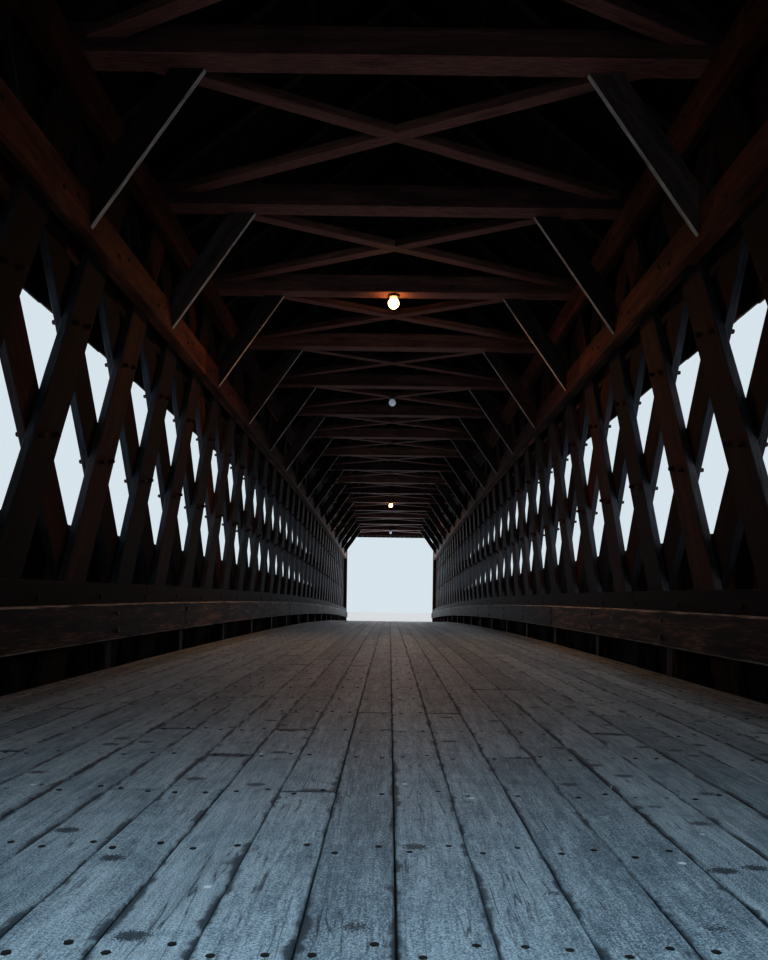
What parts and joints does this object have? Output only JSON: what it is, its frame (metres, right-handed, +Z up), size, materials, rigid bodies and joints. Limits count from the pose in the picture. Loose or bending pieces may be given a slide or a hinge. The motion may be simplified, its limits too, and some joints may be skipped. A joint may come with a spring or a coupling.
{
  "type": "covered timber bridge, half-size scale model",
  "caption": "Roofed timber road bridge with plank lattice trusses, tie beams, knee braces, open rafters, plank deck, guard rails and boarded sides with an open strip.",
  "frame": {"origin": "middle of the bridge's length and width, on the level under the bed timbers", "axes": "+X across the roadway to the right, +Y along the roadway towards the far portal, +Z up"},
  "size_m": [3.29, 25.187, 4.4393],
  "materials": {
    "lattice_timber": "rough sawn, aged dark",
    "chord_timber": "rough sawn, aged dark",
    "overhead_timber": "rough sawn, aged dark",
    "rafter_timber": "rough sawn, aged dark",
    "sheathing_wood": "rough sawn, aged dark",
    "shingle_wood": "weathered",
    "deck_wood": "worn and weathered",
    "floor_timber": "rough sawn",
    "rail_timber": "worn, dark",
    "siding_wood": "weathered boards",
    "lamp_metal": "satin",
    "lamp_glass": "frosted"
  },
  "bodies": {
    "root": {"lattice_inner_left": "lattice_timber", "lattice_inner_right": "lattice_timber", "lattice_outer_left": "lattice_timber", "lattice_outer_right": "lattice_timber", "bottom_chord_left": "chord_timber", "bottom_chord_right": "chord_timber", "lower_middle_chord_left": "chord_timber", "lower_middle_chord_right": "chord_timber", "upper_middle_chord_left": "chord_timber", "upper_middle_chord_right": "chord_timber", "top_chord_left": "chord_timber", "top_chord_right": "chord_timber", "end_posts": "chord_timber", "tie_beams": "overhead_timber", "knee_braces_left": "overhead_timber", "knee_braces_right": "overhead_timber", "overhead_braces_through": "overhead_timber", "overhead_braces_halved": "overhead_timber", "rafters_left": "rafter_timber", "rafters_right": "rafter_timber", "eave_plate_left": "rafter_timber", "eave_plate_right": "rafter_timber", "roof_sheathing_left": "sheathing_wood", "roof_sheathing_right": "sheathing_wood", "roof_covering_left": "shingle_wood", "roof_covering_right": "shingle_wood", "ridge_cap": "shingle_wood", "deck_planks": "deck_wood", "deck_underlayer": "floor_timber", "floor_beams": "floor_timber", "lower_braces": "floor_timber", "bed_timbers": "floor_timber", "guard_rail_left": "rail_timber", "guard_rail_right": "rail_timber", "rail_posts_left": "rail_timber", "rail_posts_right": "rail_timber", "siding_lower_left": "siding_wood", "siding_lower_right": "siding_wood", "siding_upper_left": "siding_wood", "siding_upper_right": "siding_wood", "portal_jambs": "siding_wood", "portal_gables": "siding_wood", "lamp_bases": "lamp_metal", "lamp_globes": "lamp_glass"}
  },
  "joints": []
}
